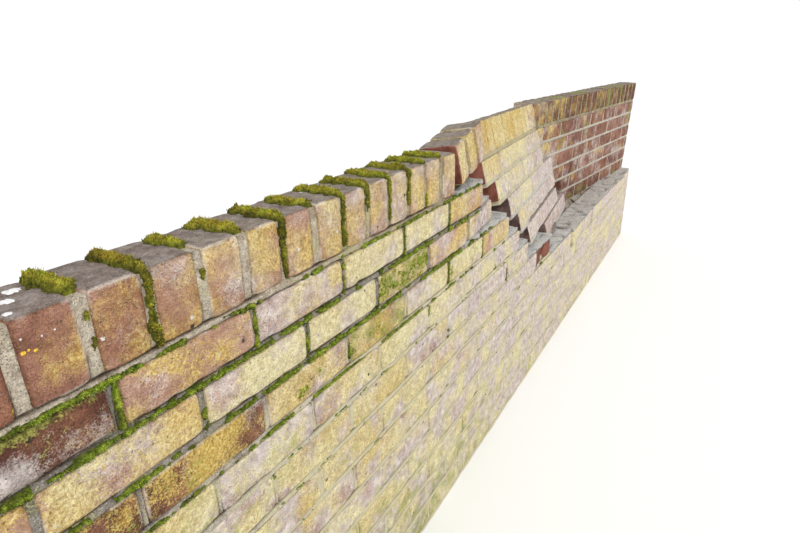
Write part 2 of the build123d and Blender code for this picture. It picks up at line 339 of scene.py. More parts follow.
def brick_values(points, part, number, kind, chance):
    """What the brick material reads at each point: clay tone, hue, and the growth on it."""
    x, z = points[:, 0] - NEAR_END, points[:, 2]
    own_yellow, own_bloom = chance.uniform(-0.1, 0.1), chance.uniform(-0.12, 0.12)
    own_tone = chance.uniform(-1, 1)
    drift, haze = noise(points, 0.09, 11), noise(points, 0.07, 12)
    if part == "far":
        coping = number > COURSES
        left = 1 - ramp(x, *FOLD_STRETCH)
        tone = 0.20 - 0.20 * coping + 0.18 * left.mean() + 0.10 * own_tone
        hue = chance.choice([0.4, 0.8, 0.9, 1.0])
        yellow = 0.24 + 0.7 * own_yellow + (0.28 - 0.06 * coping) * left
        bloom = 0.26 - 0.24 * coping + 0.7 * own_bloom + 0.30 * left
        algae = 0.14 + 0.16 * coping + 0.34 * ramp(noise(points, 0.12, 13), 0.2, 0.6)
    elif part == "tipped":
        right = ramp(x, *TIPPED_STRETCH)
        low = 1 - ramp(z, *TIPPED_LOW)
        tone, hue = 0.62 - 0.20 * right.mean() + 0.08 * own_tone, chance.uniform(0.4, 1.0)
        yellow = 0.88 - 0.32 * right - 0.40 * low + own_yellow
        bloom = 0.48 + 0.38 * low + 0.04 * right + own_bloom
        algae = 0.05 + 0.10 * drift
    elif number > COURSES:
        along = ramp(x, *COPING_STRETCH)
        tone, hue = 0.35 + 0.25 * along.mean() + 0.03 * own_tone, chance.uniform(0.3, 0.8)
        yellow = 0.22 + 0.24 * along + 0.10 * ramp(x, 1.0, 1.4) + 0.5 * own_yellow
        bloom = 0.04 + 0.30 * along + 0.14 * ramp(x, 0.8, 1.4) + 0.4 * own_bloom
        algae = np.full(len(x), 0.04)
    elif kind:
        tone, hue, yellow, bloom, algae = KINDS[kind]
        if kind == "spalled":
            away = np.hypot(x - SALT_PATCH[0], z - SALT_PATCH[1]) + 0.015 * noise(points, 0.02, 14)
            bloom = bloom + 0.75 * (1 - ramp(away, 0.012, 0.050))
            algae = algae + 0.5 * ramp(z, COURSES * COURSE_PITCH - 0.022, COURSES * COURSE_PITCH)
    else:
        far = ramp(x, *ROAD_STRETCH)
        tone, hue = 0.50 + 0.30 * far.mean() + 0.1 * own_tone, chance.uniform(0.6, 1.0)
        yellow = 0.56 - 0.18 * far + own_yellow
        bloom = 0.68 + 0.36 * far - 0.2 * ramp(z, 0.66, 0.80) + own_bloom
        algae = 0.30 * (1 - ramp(z, 0.05, 0.40)) + 0.04 + 0.22 * (1 - far)
    yellow, bloom, algae = yellow + 0.18 * drift, bloom + 0.22 * haze, algae + 0.12 * drift
    return tone, hue, np.clip(yellow, 0, 1), np.clip(bloom, 0, 1), np.clip(algae, 0, 1)


def mortar_values(points, part, number):
    """What the mortar material reads at each point: tone, coolness, bloom, algae and yellow lichen."""
    x, z = points[:, 0] - NEAR_END, points[:, 2]
    if part == "near" and number > COURSES:
        grown = ramp(x, 0.70, 1.05)
        tone = 0.88 - 0.14 * grown - 0.28 * ramp(x, 1.0, 1.35)
        return tone, 0.03, 0.14, 0.10 + 0.28 * grown, 0.16 + 0.30 * grown
    if part == "near":
        high = ramp(z, 0.66, 0.82)
        plastered = (1 - high) * (0.30 + 0.70 * ramp(x, 0.5, 1.0))
        tone, cool = 0.48 + 0.42 * plastered, 0.50 - 0.46 * plastered
        bloom = 1.1 * plastered + 0.2 * ramp(x, 0.8, 2.0)
        return tone, cool, bloom, 0.06 + 0.34 * high, 0.24 + 0.40 * plastered
    if number > COURSES:
        return PANEL_MORTAR[part, "coping"]
    return PANEL_MORTAR[part, "upper courses" if part == "tipped" and number > 10 else "courses"]


# Materials
def new_node(tree, kind, inputs, **settings):
    """A new node with its settings, and with inputs that are set to a value or linked to an output."""
    node = tree.nodes.new(kind)
    for key, value in settings.items():
        setattr(node, key, value)
    for key, value in inputs.items():
        if isinstance(value, bpy.types.NodeSocket):
            tree.links.new(value, node.inputs[key])
        else:
            node.inputs[key].default_value = value
    return node


class Nodes:
    """A material and short names for the node kinds that it is made of."""

    def __init__(self, name, roughness):
        self.material = bpy.data.materials.new(name)
        self.material.use_nodes = True
        self.tree = self.material.node_tree
        self.shader = self.tree.nodes["Principled BSDF"]
        self.shader.inputs["Roughness"].default_value = roughness
        self.shader.inputs["Specular IOR Level"].default_value = 0.25
        self.place = self.tree.nodes.new("ShaderNodeTexCoord").outputs["Object"]

    def make(self, kind, inputs, **settings):
        return new_node(self.tree, kind, inputs, **settings)

    def values(self, name):
        """The four values stored at each point under a name."""
        read = self.make("ShaderNodeAttribute", {}, attribute_name=name)
        split = self.make("ShaderNodeSeparateColor", {"Color": read.outputs["Color"]})
        return [*split.outputs, read.outputs["Alpha"]]

    def noise(self, scale, detail, place=None):
        """Noise from 0 to 1 that reaches both ends."""
        inputs = {"Vector": place or self.place, "Scale": scale, "Detail": detail}
        node = self.make("ShaderNodeTexNoise", inputs)
        return self.between(node.outputs["Fac"], 0.3, 0.7)

    def cells(self, scale):
        """Distance to the middle of a random cell, and a random value for each cell."""
        node = self.make("ShaderNodeTexVoronoi", {"Vector": self.place, "Scale": scale})
        split = self.make("ShaderNodeSeparateColor", {"Color": node.outputs["Color"]})
        return node.outputs["Distance"], split.outputs[0]

    def math(self, operation, *values):
        return self.make("ShaderNodeMath", dict(enumerate(values)), operation=operation).outputs[0]

    def times(self, product, *factors):
        for factor in factors:
            product = self.math("MULTIPLY", product, factor)
        return product

    def weighed(self, *parts):
        """Sum of values, each times its weight."""
        total = self.times(*parts[0])
        for value, weight in parts[1:]:
            total = self.math("MULTIPLY_ADD", value, weight, total)
        return total

    def between(self, value, low, high):
        """0 to 1 as the value goes from low to high."""
        node = self.make("ShaderNodeMapRange", {"Value": value, "From Min": low, "From Max": high})
        return node.outputs["Result"]

    def mix(self, share, a, b, blend="MIX"):
        inputs = {"Factor": share, 6: a, 7: b}
        node = self.make("ShaderNodeMix", inputs, data_type="RGBA", blend_type=blend)
        return node.outputs[2]

    def shaded(self, share, colour, tint):
        """The colour multiplied by a tint where the share is high."""
        return self.mix(share, colour, (*tint, 1), "MULTIPLY")

    def mottled(self, pattern, colour, dark, light):
        """The colour multiplied by a dark tint and a light tint in a pattern."""
        return self.mix(pattern, self.shaded(1.0, colour, dark), self.shaded(1.0, colour, light))

    def covered(self, colour, cover, *shares):
        """The colour under another one, as much as the shares multiply to."""
        return self.mix(self.times(*shares), colour, (*cover, 1))

    def colours(self, value, *stops):
        """Colours that blend into each other; each stop is a place and a colour."""
        node = self.make("ShaderNodeValToRGB", {"Fac": value})
        elements = node.color_ramp.elements
        while len(elements) < len(stops):
            elements.new(0.5)
        for element, (position, colour) in zip(elements, stops):
            element.position, element.color = position, (*colour, 1)
        return node.outputs["Color"]

    def spread(self, amount, pattern, softness):
        """Share of a growth over a point, from how much there is of it and the pattern that it grows in."""
        bare = self.math("SUBTRACT", 1.0, amount)
        low, high = self.math("SUBTRACT", bare, softness), self.math("ADD", bare, softness)
        return self.between(pattern, low, high)

    def bump(self, height, distance, strength, below=None):
        inputs = {"Height": height, "Distance": distance, "Strength": strength}
        if below:
            inputs["Normal"] = below
        return self.make("ShaderNodeBump", inputs).outputs["Normal"]

    def finish(self, colour, normal):
        self.tree.links.new(colour, self.shader.inputs["Base Color"])
        self.tree.links.new(normal, self.shader.inputs["Normal"])
        return self.material


def brick_material(name, streaks):
    """Fired clay with sand grains and pits, under a lime bloom, yellow lichen, algae and spots of lichen; the
    pits and holes are darkened as painted shade.
    """
    n = Nodes(name, 0.94)
    tone, hue, arris, fresh = n.values("look")
    yellow, bloom, algae, weathered = n.values("growth")
    shift = n.make("ShaderNodeCombineXYZ", {"X": tone, "Y": hue, "Z": tone}).outputs[0]
    own = n.make("ShaderNodeVectorMath", {0: n.place, 1: shift}, operation="ADD").outputs[0]
    cloud, grain, sand = n.noise(24, 4, own), n.noise(430, 2), n.noise(1000, 1)
    drawn_out = n.make("ShaderNodeMapping", {"Vector": n.place, "Scale": (105, 105, 9)}).outputs[0]
    # fired clay, from deep red-brown to light tan or pink
    shade = n.weighed((cloud, 0.40), (grain, 0.14), (n.math("SUBTRACT", tone, 0.27), 1.0))
    tan = n.colours(shade, (0.0, (0.110, 0.042, 0.026)), (0.35, (0.34, 0.145, 0.075)),
                    (0.65, (0.47, 0.270, 0.165)), (1.0, (0.64, 0.44, 0.30)))
    pink = n.colours(shade, (0.0, (0.15, 0.060, 0.046)), (0.4, (0.38, 0.195, 0.140)),
                     (1.0, (0.66, 0.44, 0.35)))
    red = n.colours(cloud, (0.2, (0.21, 0.062, 0.040)), (0.8, (0.38, 0.130, 0.085)))
    umber = n.colours(cloud, (0.2, (0.075, 0.045, 0.040)), (0.8, (0.22, 0.145, 0.125)))
    clay = n.mix(fresh, n.mix(hue, tan, pink), n.mix(hue, red, umber))
    # pale lime bloom in soft clouds, broken up by the grain
    haze = n.weighed((n.noise(17, 4), 0.50), (grain, 0.30), (n.noise(120, 2), 0.20))
    lime = n.colours(n.noise(55, 3), (0.2, (0.58, 0.50, 0.48)), (0.8, (0.84, 0.78, 0.74)))
    colour = n.mix(n.times(n.spread(bloom, haze, 0.22), 0.85), clay, lime)
    # yellow lichen in grains, thicker in clouds, or run down in streaks
    dust = n.mix(n.between(weathered, 0.6, 0.9), n.noise(400, 2), n.noise(900, 1))
    crust = n.weighed((n.noise(15, 4), 0.56), (dust, 0.32), (n.noise(130, 2), 0.12))
    crust = n.mix(0.62 * streaks, crust, n.noise(1.0, 3, drawn_out))
    fine = n.noise(230, 2)
    gold = n.colours(fine, (0.1, (0.52, 0.32, 0.06)), (0.5, (0.76, 0.55, 0.14)), (0.9, (0.90, 0.75, 0.27)))
    cream = n.colours(fine, (0.1, (0.66, 0.57, 0.26)), (0.5, (0.84, 0.77, 0.39)), (0.9, (0.92, 0.89, 0.57)))
    pale_gold = n.mix(n.between(bloom, 0.30, 0.85), gold, cream)
    crisp = n.times(n.math("ADD", 0.1, weathered), 0.16)
    colour = n.mix(n.times(n.spread(yellow, crust, crisp), 0.80), colour, pale_gold)
    # sand grains show through all of it
    sandy = n.weighed((sand, 0.6), (grain, 0.4))
    colour = n.mottled(sandy, colour, (0.74, 0.72, 0.70), (1.22, 1.22, 1.20))
    colour = n.mottled(n.noise(85, 4), colour, (0.82, 0.78, 0.77), (1.14, 1.14, 1.15))
    # soot and weather on every face that looks up
    normal = n.make("ShaderNodeNewGeometry", {}).outputs["Normal"]
    facing = n.make("ShaderNodeSeparateXYZ", {0: normal}).outputs["Z"]
    level = n.between(n.weighed((facing, 1.0), (cloud, 0.12), (grain, 0.08)), 0.72, 1.02)
    soot = n.colours(n.weighed((n.noise(60, 5), 0.6), (grain, 0.4)), (0.15, (0.130, 0.105, 0.088)),
                     (0.5, (0.240, 0.200, 0.175)), (0.9, (0.37, 0.325, 0.295)))
    colour = n.mix(n.times(level, weathered, 0.93), colour, soot)
    # algae and dirt
    slime = n.weighed((n.noise(23, 4), 0.45), (grain, 0.35), (n.noise(110, 2), 0.20))
    green = n.colours(n.weighed((grain, 0.45), (n.noise(110, 3), 0.55)), (0.25, (0.085, 0.095, 0.018)),
                      (0.55, (0.26, 0.29, 0.05)), (0.85, (0.50, 0.51, 0.12)))
    colour = n.mix(n.times(n.spread(algae, slime, 0.10), 0.75), colour, green)
    # small pits and holes, darkened as painted shade in their hollows, and spots of white and orange lichen
    pit, pit_chance = n.cells(150)
    ragged_pit = n.between(n.weighed((pit, 1.0), (sand, 0.2)), 0.36, 0.22)
    colour = n.covered(colour, (0.10, 0.065, 0.04), ragged_pit, n.between(pit_chance, 0.80, 0.82), 0.65)
    hole, hole_chance = n.cells(38)
    ragged_hole = n.between(n.weighed((hole, 1.0), (grain, 0.12)), 0.22, 0.15)
    colour = n.covered(colour, (0.055, 0.038, 0.025), ragged_hole, n.between(hole_chance, 0.91, 0.92))
    spot, spot_chance = n.cells(60)
    edge = n.weighed((spot, 1.0), (grain, 0.16))
    white, ochre = n.between(edge, 0.26, 0.22), n.between(edge, 0.32, 0.26)
    colour = n.covered(colour, (0.82, 0.78, 0.74), white, n.between(spot_chance, 0.962, 0.966), weathered)
    colour = n.covered(colour, (0.76, 0.47, 0.08), ochre, n.between(spot_chance, 0.022, 0.018), weathered)
    # worn rim: pale with lime in places, dirty in others
    rim = n.between(n.weighed((arris, 1.0), (grain, 0.15)), 0.72, 1.0)
    limed = n.between(n.noise(14, 2, own), 0.55, 0.75)
    colour = n.covered(colour, (0.78, 0.70, 0.62), rim, limed, 0.55)
    colour = n.shaded(n.times(rim, n.math("SUBTRACT", 1.0, limed), 0.6), colour, (0.50, 0.42, 0.32))
    normal = n.bump(n.noise(70, 4), 0.004, 0.6)
    normal = n.bump(grain, 0.0022, 0.85, normal)
    normal = n.bump(n.between(pit, 0.0, 0.3), 0.0015, 0.5, normal)
    normal = n.bump(n.between(hole, 0.10, 0.24), 0.003, 0.6, normal)
    return n.finish(colour, n.bump(sand, 0.0007, 0.7, normal))


def mortar_material():
    """Gritty lime mortar with light and dark grains, green where it is damp, and darkened as painted shade in
    cracks, gaping beds and deep joints.
    """
    n = Nodes("mortar", 0.96)
    tone, cool, painted_shade, _ = n.values("look")
    yellow, bloom, algae, _ = n.values("growth")
    cloud, grain, fine = n.noise(40, 4), n.noise(400, 3), n.noise(1100, 1)
    shade = n.weighed((cloud, 0.28), (grain, 0.30), (n.math("SUBTRACT", tone, 0.29), 1.0))
    buff = n.colours(shade, (0.0, (0.15, 0.11, 0.075)), (0.4, (0.40, 0.31, 0.22)),
                     (0.7, (0.56, 0.455, 0.335)), (1.0, (0.78, 0.69, 0.55)))
    grey = n.colours(shade, (0.0, (0.13, 0.125, 0.13)), (0.45, (0.34, 0.345, 0.36)),
                     (1.0, (0.66, 0.68, 0.71)))
    colour = n.mix(cool, buff, grey)
    colour = n.mottled(fine, colour, (0.78, 0.78, 0.78), (1.22, 1.20, 1.17))
    colour = n.mottled(n.noise(130, 4), colour, (0.70, 0.68, 0.66), (1.14, 1.14, 1.14))
    grit, grit_chance = n.cells(330)
    grains = n.between(grit, 0.45, 0.25)
    colour = n.covered(colour, (0.13, 0.10, 0.07), grains, n.between(grit_chance, 0.87, 0.89), 0.6)
    colour = n.covered(colour, (0.76, 0.71, 0.62), grains, n.between(grit_chance, 0.12, 0.10), 0.8)
    slime = n.weighed((n.noise(25, 4), 0.55), (grain, 0.45))
    colour = n.covered(colour, (0.82, 0.76, 0.62), n.spread(bloom, slime, 0.3), 0.85)
    green = n.colours(grain, (0.2, (0.06, 0.07, 0.015)), (0.8, (0.20, 0.23, 0.05)))
    colour = n.mix(n.times(n.spread(algae, slime, 0.16), 0.75), colour, green)
    colour = n.covered(colour, (0.82, 0.73, 0.40), n.spread(yellow, slime, 0.15), 0.65)
    # painted shade: the look's third value darkens cracks, gaping beds and deep joints toward dark brown
    colour = n.shaded(n.times(painted_shade, 0.92), colour, (0.14, 0.11, 0.085))
    normal = n.bump(n.noise(90, 4), 0.005, 0.7)
    normal = n.bump(grain, 0.003, 0.9, normal)
    return n.finish(colour, n.bump(fine, 0.001, 0.8, normal))


def moss_material():
    """Moss leaves, darkened as painted shade low in the cushion and in patches, bright at the tips and rusty
    where it fruits.
    """
    n = Nodes("moss", 0.85)
    tone, tip, rust, gloom = n.values("look")
    fresh = n.values("growth")[0]
    patch = n.weighed((n.noise(55, 3), 0.22), (n.noise(170, 3), 0.40), (tone, 0.38))
    dark = n.colours(patch, (0.2, (0.014, 0.018, 0.003)), (0.8, (0.060, 0.075, 0.008)))
    lime = n.colours(patch, (0.15, (0.09, 0.13, 0.009)), (0.42, (0.36, 0.41, 0.022)),
                     (0.75, (0.86, 0.80, 0.08)))
    grass = n.colours(patch, (0.15, (0.04, 0.09, 0.008)), (0.42, (0.20, 0.35, 0.020)),
                      (0.75, (0.66, 0.82, 0.12)))
    # painted shade: where the tip value is low, deep in the cushion, the leaves turn dark
    colour = n.mix(tip, dark, n.mix(fresh, lime, grass))
    brown = n.colours(tone, (0.2, (0.30, 0.13, 0.02)), (0.8, (0.62, 0.36, 0.06)))
    colour = n.mix(n.times(rust, tip), colour, brown)
    # painted shade: the gloom darkens the moss in patches and deep in joints
    colour = n.shaded(gloom, colour, (0.42, 0.36, 0.30))
    return n.finish(colour, n.bump(n.noise(900, 1), 0.001, 0.5))


def lichen_material():
    """Flat crusts of lichen, white or orange."""
    n = Nodes("lichen", 0.9)
    orange = n.values("look")[0]
    grain = n.noise(520, 2)
    white = n.colours(grain, (0.1, (0.62, 0.60, 0.60)), (0.7, (0.84, 0.83, 0.82)))
    ochre = n.colours(grain, (0.1, (0.62, 0.33, 0.03)), (0.7, (0.83, 0.55, 0.07)))
    return n.finish(n.mix(orange, white, ochre), n.bump(grain, 0.001, 0.6))


BRICK, STREAKED_BRICK = brick_material("brick", 0.0), brick_material("streaked_brick", 1.0)
MORTAR, MOSS, LICHEN = mortar_material(), moss_material(), lichen_material()

# Brickwork: how closely the bricks are cut up, and how far along the wall it is done finely
NEAR_STEP, PLAIN_STEP, COPING_STEP = (0.013, 0.034, 0.010), (0.030, 0.050, 0.016), (0.009, 0.013, 0.011)
CLOSE = NEAR_END + 1.9
# Courses from this one up have round arrises, deep joints and thick moss
WEATHERED_COURSE = 10
ROUND_ARRIS, SHARP_ARRIS = (0.0042, 0.0058), (0.0026, 0.0034)
FACE_ROUGHNESS, PIT_DEPTH = 0.0006, 0.005
# Chance in how each brick lies: skew about Y and Z in degrees, and nudge
SKEW_Y, SKEW_Z = 0.25, 0.3
NUDGE = (0.0004, 0.0007, 0.0004)


def lay_brick(heap, place, low, high, part, number, index, broken_off):
    """One worn brick between two corners in wall coordinates, freshly broken at its start or not."""
    low, high = np.array(low), np.array(high)
    on_edge = number > COURSES
    kind = KIND_OF.get((number, index)) if part == "near" else None
    chance = np.random.default_rng(number * 1000 + int(1000 * (low[0] - NEAR_END)))
    seed = chance.uniform(0, 40)
    rounded = on_edge or (part == "near" and number >= WEATHERED_COURSE)
    arris = chance.uniform(*(ROUND_ARRIS if rounded else SHARP_ARRIS))
    if on_edge and part != "far":
        step = COPING_STEP
    else:
        step = NEAR_STEP if low[0] < CLOSE and number >= LEDGE_COURSE else PLAIN_STEP
    wear = 0.006 if part == "near" else 0.004
    shape, quads, near = worn_box(high - low, step, arris, wear, FACE_ROUGHNESS, seed)
    half = (high - low) / 2
    if kind == "spalled":
        pits = bumps(shape + seed, 0.03, 0.012, 0.5, 15) + 0.5
        shape[:, 1] += PIT_DEPTH * np.clip(pits, 0, 1) * (shape[:, 1] < 0.003 - half[1])
    skew = rotation(chance.normal(0, SKEW_Y), "Y") @ rotation(chance.normal(0, SKEW_Z), "Z")
    nudge = chance.normal(0, 1, 3) * NUDGE
    flat = placed(shape, skew) + (low + high) / 2 + nudge
    tone, hue, yellow, bloom, algae = brick_values(flat, part, number, kind, chance)
    broken = broken_off * ramp(-shape[:, 0], half[0] - 0.004, half[0] - 0.001)
    # low breaks are umber and high ones red
    break_hue = 1.0 if number < 11 else 0.15
    cover = 1 - broken
    worn = near * cover * (1.0 if part == "near" and rounded else 0.7)
    look = columns(tone, np.where(broken > 0.02, break_hue, hue), worn, broken)
    weathered = 1.0 if on_edge else 0.55
    growth = columns(yellow * cover, bloom * cover, algae * cover, weathered * cover)
    heap.add(placed(flat, place), quads, look, growth)


# Beds with a long open crack above them or below them: how rare and how sharp the crack is
TOP_CRACKS = {12: (-0.6, -0.25), 11: (-0.45, -0.1), 10: (-0.3, 0.0)}
FOOT_CRACKS = {13: (-0.6, -0.3), 10: (0.0, 0.3), 9: (0.0, 0.3)}
OTHER_TOP, OTHER_FOOT, UPRIGHT_CRACKS = (-0.6, -0.15), (0.3, 0.6), (0.15, 0.45)
# Beds of the tipped part that gape: where the gap begins and where it is full
OPEN_BEDS = {("tipped", 9): (halves(19), halves(21)), ("tipped", 8): (halves(20), halves(22))}
# How far mortar lies back: where it has cracked, behind a brick, and where a bed gapes
CRACKED_BACK, HIDDEN_BACK, GAPING_BACK = 0.0045, 0.009, 0.012
# Cutting lines beside an upright joint, with a strip between them that can crack
BESIDE_JOINT = (-0.0035, 0.001, 0.0045)
MORTAR_ROUGHNESS = 0.0011


def lay_mortar(heap, place, start, end, foot, top, uprights, width, part, number, recess, gloom=0.0):
    """The mortar of a run: a block just inside the faces, rough and cracked where it shows, with painted
    shade in its cracks and gaping beds and, as much as the gloom says, on its faces.
    """
    fine = part == "near" and number >= LEDGE_COURSE
    spacing = 0.010 if fine else 0.030
    along = [start, end, *np.arange(start + spacing, end - spacing / 2, spacing)]
    along += [x + side * (width / 2 + away) for x in uprights for side in (-1, 1) for away in BESIDE_JOINT]
    along = np.array(sorted(along))
    along = along[(along >= start) & (along <= end)]
    along = along[np.concatenate([[True], np.diff(along) > 0.0008])]
    along[-1] = end
    bed_top = foot + BED_JOINT
    rows = [foot, foot + 0.0018, foot + 0.0045, bed_top - 0.0035, bed_top - 0.001, bed_top + 0.0012,
            bed_top + 0.005]
    up = np.concatenate([rows, np.linspace(bed_top + 0.016, top, 5 if fine else 3)])
    half = BRICK_WIDTH / 2 - recess
    grid, quads = shell([along, np.array([-half, 0.0, half]), up])
    x, z = grid[:, 0], grid[:, 2]
    outward = np.sign(grid[:, 1]) * (np.abs(grid[:, 1]) > half - 1e-6)
    lumps = MORTAR_ROUGHNESS * bumps(grid, 0.016, 0.006, 0.7, 21)
    # cracks run along their joint, so the noise that they follow is drawn out along it
    at_top = ramp(noise(grid * (1, 1, 3), 0.07, 23), *TOP_CRACKS.get(number, OTHER_TOP))
    at_foot = ramp(noise(grid * (1, 1, 3), 0.07, 24), *FOOT_CRACKS.get(number, OTHER_FOOT))
    beside = ramp(noise(grid * (3, 1, 1), 0.05, 25), *UPRIGHT_CRACKS)
    cracked = np.maximum((np.abs(z - bed_top) < 0.0014) * at_top, (z < foot + 0.001) * at_foot)
    between = np.zeros(len(grid), bool)
    for joint in uprights:
        strip = np.abs(np.abs(x - joint) - width / 2 - 0.001) < 0.0012
        cracked = np.maximum(cracked, strip * (z > bed_top) * beside)
        between |= np.abs(x - joint) < width / 2 + 0.004
    cracked = cracked * (part == "near")
    hidden = (z > bed_top + 0.004) & ~between
    gap = OPEN_BEDS.get((part, number))
    opened = (z < bed_top + 0.002) * ramp(x, *gap) if gap else 0.0 * z
    grid[:, 1] += outward * (lumps - CRACKED_BACK * cracked - HIDDEN_BACK * hidden - GAPING_BACK * opened)
    tone, cool, bloom, algae, yellow = mortar_values(grid, part, number)
    # painted shade: cracks, gaping beds and, by the gloom, the faces of deep joints are darkened
    dark = np.maximum(np.maximum(cracked, opened), gloom * (outward != 0))
    look = columns(tone, cool, dark, 0.0 * z)
    heap.add(placed(grid, place), quads, look, columns(yellow, bloom, algae, 0.0 * z))


def frame_slot(node):
    """The material slot that the record gives a node."""
    return next(row["material_slot"] for row in frame["record"]["subparts"] if row["node"] == node)


def finish_run(node, part, bricks, mortar):
    """The pieces of a run: its bricks stand for the CAD node, and its mortar goes with them."""
    bricks.piece(node + "_bricks", STREAKED_BRICK if part == "tipped" else BRICK, [node], frame_slot(node))
    if mortar.count:
        mortar.piece(node + "_mortar", MORTAR, (), "mortar")


# How far mortar stops short of the ends and the top of a run, and how deep it lies in a course
END_INSET, TOP_INSET = 0.006, 0.004
DEEP_RECESS, FLUSH_RECESS = 0.0022, 0.0010
SHORTEST_BRICK = 0.02
# How deep the coping's mortar lies, and how much painted shade darkens it
LOOSE_MORTAR, TIPPED_MORTAR, FIRM_MORTAR = (0.014, 0.9), (0.0040, 0.25), (0.0018, 0.0)


def lay_course(node, place, start, end, number, part, bedded=True, broken_off=False, heaps=None):
    """A course of stretchers, which becomes the pieces of its node unless it is added to other heaps."""
    bricks, mortar = heaps or (Heap(), Heap())
    foot = course_foot(number)
    joints = perpends(start, end, number)
    starts = [start] + [x + PERPEND_JOINT / 2 for x in joints]
    ends = [x - PERPEND_JOINT / 2 for x in joints] + [end]
    for a, b in zip(starts, ends):
        if b - a > SHORTEST_BRICK:
            low, high = (a, ROAD_FACE, foot + BED_JOINT), (b, GARDEN_FACE, foot + COURSE_PITCH)
            index = brick_index((a + b) / 2, number)
            lay_brick(bricks, place, low, high, part, number, index, broken_off and a == start)
    recess = DEEP_RECESS if part == "near" and number >= WEATHERED_COURSE else FLUSH_RECESS
    if bedded or joints:
        low = foot if bedded else foot + 0.006
        lay_mortar(mortar, place, start + END_INSET, end - END_INSET, low, foot + COURSE_PITCH - TOP_INSET,
                   joints, PERPEND_JOINT, part, number, recess)
    if heaps is None:
        finish_run(node, part, bricks, mortar)


def lay_coping(node, place, start, count, part, bed_start=None, broken_off=False):
    """A run of half bricks on edge, which lies loose unless it is told where its bed starts."""
    bricks, mortar = Heap(), Heap()
    for k in range(count):
        a = start + k * COPING_PITCH
        low, high = (a, ROAD_FACE, COPING_FOOT), (a + BRICK_HEIGHT, GARDEN_FACE, WALL_TOP)
        lay_brick(bricks, place, low, high, part, COURSES + 1, k, broken_off and k == 0)
    end = start + count * COPING_PITCH - COPING_JOINT
    joints = [start + k * COPING_PITCH - COPING_JOINT / 2 for k in range(1, count)]
    loose = bed_start is None
    first = start if loose else bed_start
    foot = COPING_FOOT - (0.008 if loose else BED_JOINT)
    # the second value of each pair is painted shade on the joint faces
    recess, gloom = LOOSE_MORTAR if loose else TIPPED_MORTAR if part == "tipped" else FIRM_MORTAR
    lay_mortar(mortar, place, first + END_INSET, end - END_INSET, foot, WALL_TOP - TOP_INSET, joints,
               COPING_JOINT, part, COURSES + 1, recess, gloom)
    finish_run(node, part, bricks, mortar)


for number in range(1, LEDGE_COURSE):
    lay_course(f"course_{number:02d}", UPRIGHT, NEAR_END, FAR_END, number, "near")
lay_course("course_06", UPRIGHT, NEAR_END, halves(LEDGE_START), LEDGE_COURSE, "near")
ledge_heaps, ledge_places = (Heap(), Heap()), []
for first, last, turn, shove in LEDGE_RUNS:
    start, end = next_brick(first), halves(last)
    place = pushed(((start + end) / 2, 0, 0), (0, -shove, 0), turn, 0, 0)
    ledge_places.append((place, start, end))
    lay_course("ledge_bricks", place, start, end, LEDGE_COURSE, "near", heaps=ledge_heaps)
finish_run("ledge_bricks", "near", *ledge_heaps)
near_ends = {number: halves(CRACK[number]) for number in CRACK}
near_ends[11] = TURNED_START - PERPEND_JOINT
near_ends[7] = SPLIT_START - PERPEND_JOINT
for number in range(LEDGE_COURSE + 1, COURSES + 1):
    bedded = number > LEDGE_COURSE + 1
    lay_course(f"near_course_{number:02d}", UPRIGHT, NEAR_END, near_ends[number], number, "near")
    lay_course(f"tipped_course_{number:02d}", TIPPED, next_brick(CRACK[number]), halves(FOLD[number]), number,
               "tipped", bedded, True)
    lay_course(f"far_course_{number:02d}", FAR_PLACE, next_brick(FAR[number]), FAR_END - FAR_TRIM, number,
               "far", bedded)
lay_course("turned_brick", TURNED_PLACE, TURNED_START, halves(CRACK[11]), 11, "near", False)
lay_coping("near_coping", UPRIGHT, NEAR_END, NEAR_COPING, "near", NEAR_END)
lay_coping("loose_coping", LOOSE_PLACE, LOOSE_START, LOOSE_COPING, "near", None, True)
tipped_start = LOOSE_START + LOOSE_COPING * COPING_PITCH
far_start = tipped_start + TIPPED_COPING * COPING_PITCH
lay_coping("tipped_coping", TIPPED, tipped_start, TIPPED_COPING, "tipped", tipped_start)
lay_coping("far_coping", FAR_PLACE, far_start, FAR_COPING, "far", next_brick(FOLD[12]))


# Broken mortar, the split brick, the stub and the rubble
def crumbs(heap, place, count, low, high, size, look, seed):
    """Bits of mortar and brick scattered between two corners."""
    chance = np.random.default_rng(seed)
    for _ in range(count):
        length = chance.uniform(*size)
        sides = length * chance.uniform(0.5, 1.0, 3)
        own = chance.uniform(0, 9)
        bit, quads, _ = worn_box(sides, (1, 1, 1), 0.25 * sides.min(), 0.3 * length, 0.1 * length, own)
        turn = Matrix.Rotation(chance.uniform(0, 6.3), 4, "Z")
        turn = turn @ Matrix.Rotation(chance.normal(0, 0.4), 4, "X")
        spot = chance.uniform(low, high)
        heap.add(placed(placed(bit, turn) + spot, place), quads, look, (0, 0.2, 0, 0))


